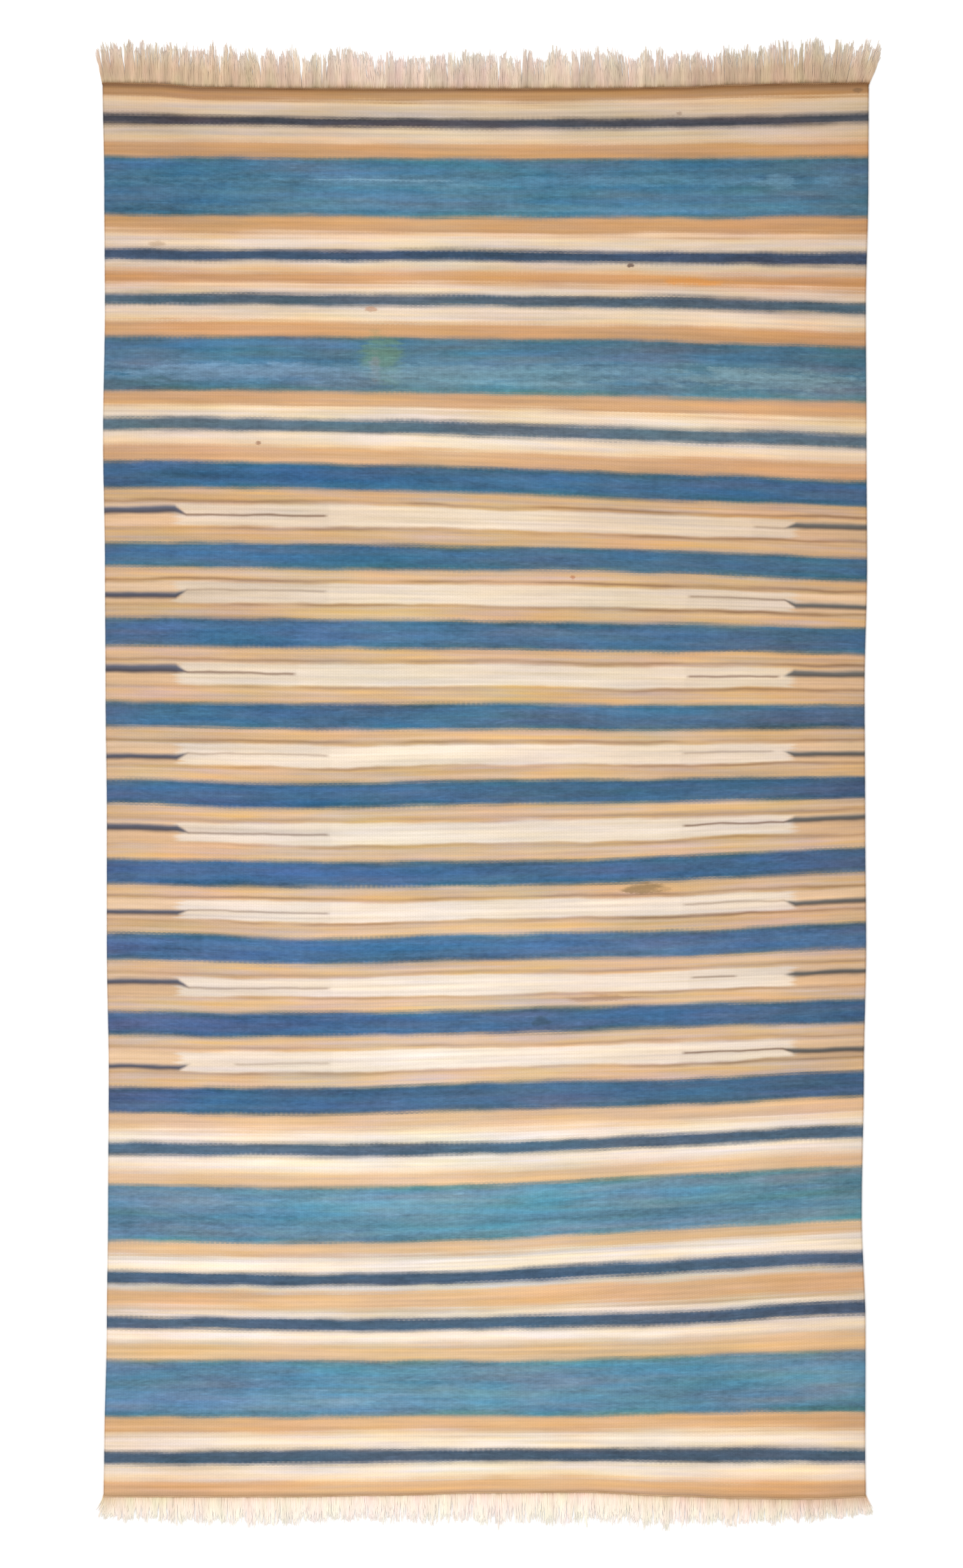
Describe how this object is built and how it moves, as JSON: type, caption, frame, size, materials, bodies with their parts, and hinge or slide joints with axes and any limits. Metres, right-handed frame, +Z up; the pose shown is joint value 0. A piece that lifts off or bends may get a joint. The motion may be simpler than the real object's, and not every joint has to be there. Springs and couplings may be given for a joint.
{
  "type": "dhurrie rug",
  "caption": "Flat-woven striped cotton dhurrie rug lying flat, with blue, cream and tan bands across it and a short warp fringe along each end.",
  "frame": {"origin": "on the floor under the middle of the whole rug, fringes included", "axes": "+X across the rug along its wefts, towards the picture's right; +Y along the warps, towards the picture's top end; +Z up from the floor"},
  "size_m": [1.2286, 2.3376, 0.004],
  "materials": {
    "woven_cloth": "weft-faced cotton flatweave, matt, ribbed along the warps, striped in blues, cream and tan",
    "fringe_top": "twisted beige cotton warp ends, matt",
    "fringe_bottom": "twisted pale cream cotton warp ends, matt"
  },
  "bodies": {
    "root": {"woven_cloth": "woven_cloth", "fringe_top": "fringe_top", "fringe_bottom": "fringe_bottom"}
  },
  "joints": []
}
